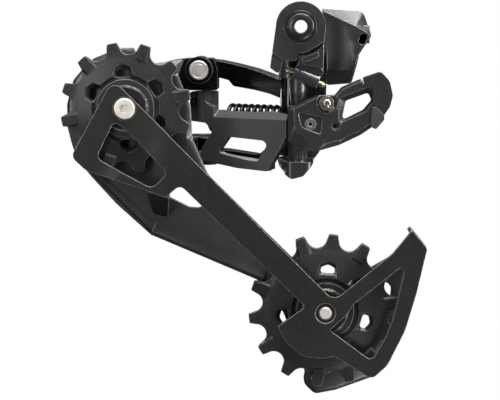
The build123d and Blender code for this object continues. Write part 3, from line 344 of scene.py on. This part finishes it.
def helical_thread(start, end, depth, pitch):
    """Radius function of a V thread between two axial places, with run-outs at both ends."""
    def radius_at(axial, radius, angle):
        if not start < axial < end:
            return radius
        phase = (axial / pitch - angle / math.tau) % 1.0
        groove = 1.0 - abs(2.0 * phase - 1.0)
        fade = min(1.0, (axial - start) / pitch, (end - axial) / pitch)
        return radius - depth * groove * fade
    return radius_at


def threaded_profile(radius, first, pitch, count):
    """Points close enough together for a thread to be cut into them."""
    return [(first + k * pitch * TURNS_STEP, radius) for k in range(count)]


def hanger_bolt():
    """The hanger bolt with its M10 x 1 thread cut and its head chamfered."""
    low, high = (Vector(corner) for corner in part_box("b_bolt"))
    thread_length = -low.y
    length = high.y - low.y
    head = length - BOLT_HEAD_T
    head_r = (high.x - low.x) / 2
    count = int(round(thread_length / (BOLT_PITCH * TURNS_STEP))) - 4
    profile = [(0.0, BOLT_BORE_R), (0.0, THREAD_R - 0.8 * MM)]
    profile += threaded_profile(THREAD_R, 0.5 * MM, BOLT_PITCH, count)
    profile += [(thread_length, THREAD_R), (thread_length, SHOULDER_R), (head, SHOULDER_R), (head, head_r)]
    profile += [(length - 0.9 * MM, head_r), (length - 0.3 * MM, head_r - 0.3 * MM),
                (length, head_r - 0.9 * MM), (length, BOLT_SOCKET_R),
                (length - 0.3 * MM, BOLT_BORE_R + 0.1 * MM), (length - 18 * MM, BOLT_BORE_R)]
    thread = helical_thread(0.4 * MM, thread_length - 0.3 * MM, 0.55 * MM, BOLT_PITCH)
    shape = bmesh.new()
    lathe(shape, profile, along(Vector((0, low.y, 0)), (0, 1, 0)), 96, thread)
    new_piece("hanger_bolt_threaded", shape, "oxide", "hanger_mount", "b_bolt")


def tension_screw():
    """The B-tension screw with its thread cut and a socket in its end."""
    joint = next(j for j in frame["record"]["behaviour"]["joints"] if j["name"] == "b_screw_turn")
    axis = Vector(joint["axis"]).normalized()
    length = SCREW_LENGTH
    centre_r = 0.0002 * MM
    count = int(length / (SCREW_PITCH * TURNS_STEP)) - 8
    profile = [(0.0, centre_r), (0.0, 1.1 * MM)]
    profile += threaded_profile(SCREW_R, 0.25 * MM, SCREW_PITCH, count)
    profile += [(length, 1.2 * MM), (length + 0.8 * MM, 1.1 * MM), (length + 0.8 * MM, 0.7 * MM),
                (length - 0.6 * MM, 0.65 * MM), (length - 0.6 * MM, centre_r)]
    thread = helical_thread(0.2 * MM, length - 0.2 * MM, 0.3 * MM, SCREW_PITCH)
    shape = bmesh.new()
    lathe(shape, profile, along(Vector(joint["pos_m"]) - axis * length, axis), 48, thread)
    new_piece("b_screw_threaded", shape, "brass", "b_screw", "b_screw")


def knurl(axial, radius, angle):
    """Radius of the knurled outer edge of a bearing's rim."""
    on_edge = radius > RIM_OUTER_R - 0.25 * MM and axial > 0
    return radius - (RIM_KNURL_DEPTH if on_edge and math.sin(angle * RIM_KNURLS) > 0 else 0)


def seal_rings():
    """Knurled metal rims of the bearings, seen between the dust cover and the pulley's hub."""
    profile = [(0.0, RIM_INNER_R), (0.0, RIM_OUTER_R), (0.35 * MM, RIM_OUTER_R),
               (0.5 * MM, RIM_OUTER_R - 0.15 * MM), (0.5 * MM, RIM_INNER_R + 0.4 * MM),
               (0.35 * MM, RIM_INNER_R + 0.3 * MM), (0.35 * MM, RIM_INNER_R)]
    for node in ("upper_pulley", "lower_pulley"):
        shape = bmesh.new()
        for side in (-1, 1):
            place = along(centre_of(node) + Vector((0, side * RIM_OFFSET, 0)), (0, side, 0))
            lathe(shape, profile, place, RIM_KNURLS * 4, knurl)
        new_piece(f"{node}_seal_rim", shape, "brass", node)


# ---- camera and light ---------------------------------------------------------------------
def camera():
    """The view the part was first seen from."""
    data = bpy.data.cameras.new("camera")
    data.sensor_width = 36.0
    data.lens = 108.6
    data.clip_start = 0.01
    data.clip_end = 20
    obj = bpy.data.objects.new("camera", data)
    forward = Vector((-0.03464, 0.99250, -0.11722))
    up = Vector((-0.00409, 0.11715, 0.99311))
    right = forward.cross(up)
    rotation = Matrix((right, up, -forward)).transposed().to_4x4()
    obj.matrix_world = Matrix.Translation(Vector((0.808, -590.0, 1.775)) * MM) @ rotation
    bpy.context.collection.objects.link(obj)
    bpy.context.scene.camera = obj


def area_light(name, location, target, size, power):
    """Rectangular light that faces a point."""
    data = bpy.data.lights.new(name, "AREA")
    data.shape = "RECTANGLE"
    data.size, data.size_y = size
    data.energy = power
    obj = bpy.data.objects.new(name, data)
    obj.location = location
    obj.rotation_euler = (Vector(target) - Vector(location)).to_track_quat("-Z", "Y").to_euler()
    bpy.context.collection.objects.link(obj)


def sky(world):
    """White where it is seen; as light, bright overhead and dimmer round the horizon."""
    tree = world.node_tree
    background = tree.nodes["Background"]
    coords = tree.nodes.new("ShaderNodeTexCoord")
    split = tree.nodes.new("ShaderNodeSeparateXYZ")
    tree.links.new(coords.outputs["Generated"], split.inputs["Vector"])
    curve = tree.nodes.new("ShaderNodeValToRGB")
    stops = ((0.0, 0.10), (0.40, 0.05), (0.54, 0.035), (0.72, 0.22), (1.0, 0.50))
    while len(curve.color_ramp.elements) < len(stops):
        curve.color_ramp.elements.new(0.5)
    for element, (position, level) in zip(curve.color_ramp.elements, stops):
        element.position = position
        element.color = (level, level, level, 1)
    tree.links.new(remap(tree, split.outputs["Z"], -1.0, 1.0, 0.0, 1.0), curve.inputs["Fac"])
    path = tree.nodes.new("ShaderNodeLightPath")
    colour = blend(tree, path.outputs["Is Camera Ray"], curve.outputs["Color"], (1.0, 1.0, 1.0))
    tree.links.new(colour, background.inputs["Color"])


# place of each light, its two sizes in metres and its power in watts
LIGHTS = {
    "above": ((0.05, -0.20, 0.70), (0.70, 0.25), 10.0),
    "front": ((0.30, -0.36, 0.62), (0.16, 0.12), 3.6),
    "left": ((-0.50, -0.80, 0.10), (0.16, 0.50), 2.8),
    "right": ((0.70, -0.32, 0.06), (0.16, 0.50), 6.5),
    "low": ((0.30, -0.55, -0.55), (0.30, 0.12), 2.0),
    "rim": ((0.1, 0.5, 0.45), (0.6, 0.3), 5.0),
    "back": ((-0.5, 0.5, 0.1), (0.3, 0.5), 3.0),
}
AIM = (-0.02, 0, -0.06)


def studio():
    """White surroundings and the lights round the part."""
    world = bpy.data.worlds.new("world")
    world.use_nodes = True
    sky(world)
    bpy.context.scene.world = world
    bpy.context.scene.view_settings.view_transform = "Standard"
    for name, (location, size, power) in LIGHTS.items():
        area_light(name, location, AIM, size, power)


camera()
studio()
finish_nodes()
hanger_bolt()
tension_screw()
seal_rings()
